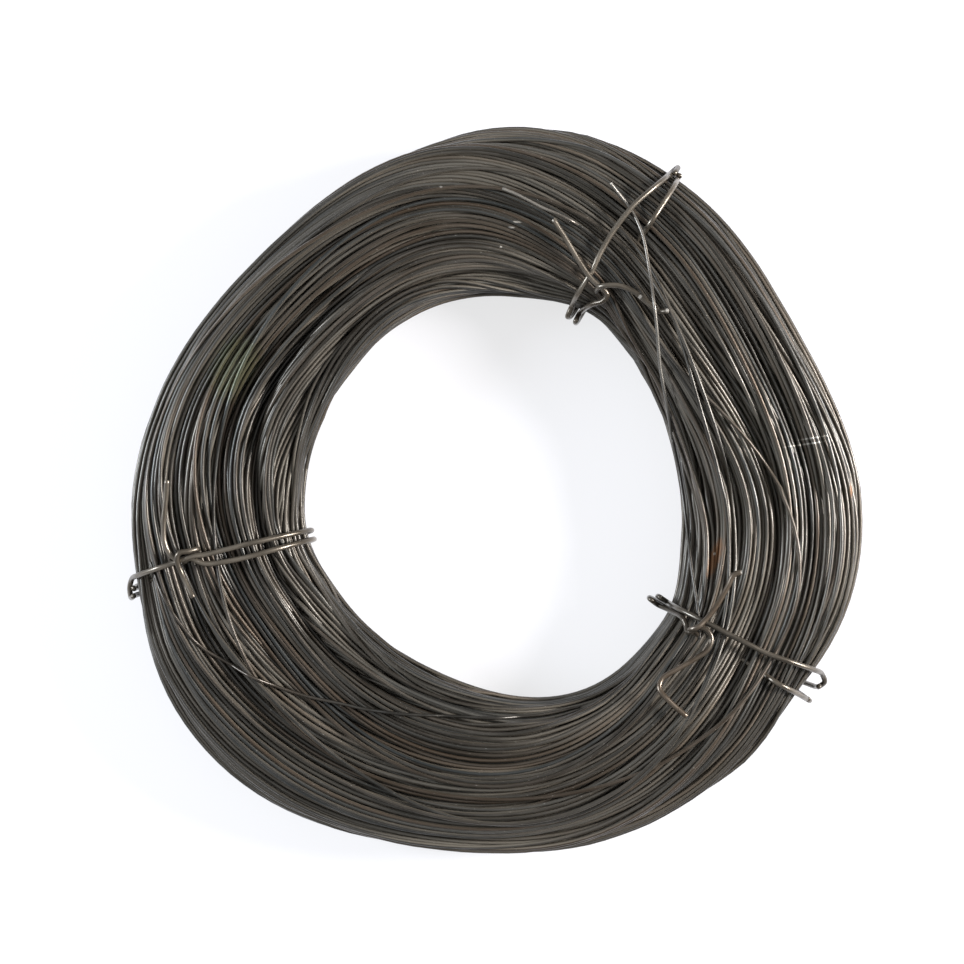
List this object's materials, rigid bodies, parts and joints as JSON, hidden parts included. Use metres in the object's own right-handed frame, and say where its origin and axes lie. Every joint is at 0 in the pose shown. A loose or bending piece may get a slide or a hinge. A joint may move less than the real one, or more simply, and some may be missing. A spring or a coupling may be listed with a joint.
{
  "type": "coil of binding wire",
  "caption": "Coil of dark annealed steel binding wire, an uneven ring of loose turns held by short wire ties with twisted knots and bent tails.",
  "frame": {"origin": "middle of the object's bounding box in plan, on the floor plane under the coil", "axes": "+Z up along the ring's axis as the coil lies flat, +X to the right and +Y up in the picture, so the left tie is on the -X side"},
  "size_m": [0.235, 0.23, 0.0416],
  "materials": {
    "annealed_wire": "satin",
    "tie_wire": "satin"
  },
  "bodies": {
    "root": {"wire_coil": "annealed_wire", "tie_wire_left": "tie_wire", "tie_wire_top": "tie_wire", "tie_wire_right": "tie_wire"}
  },
  "joints": []
}
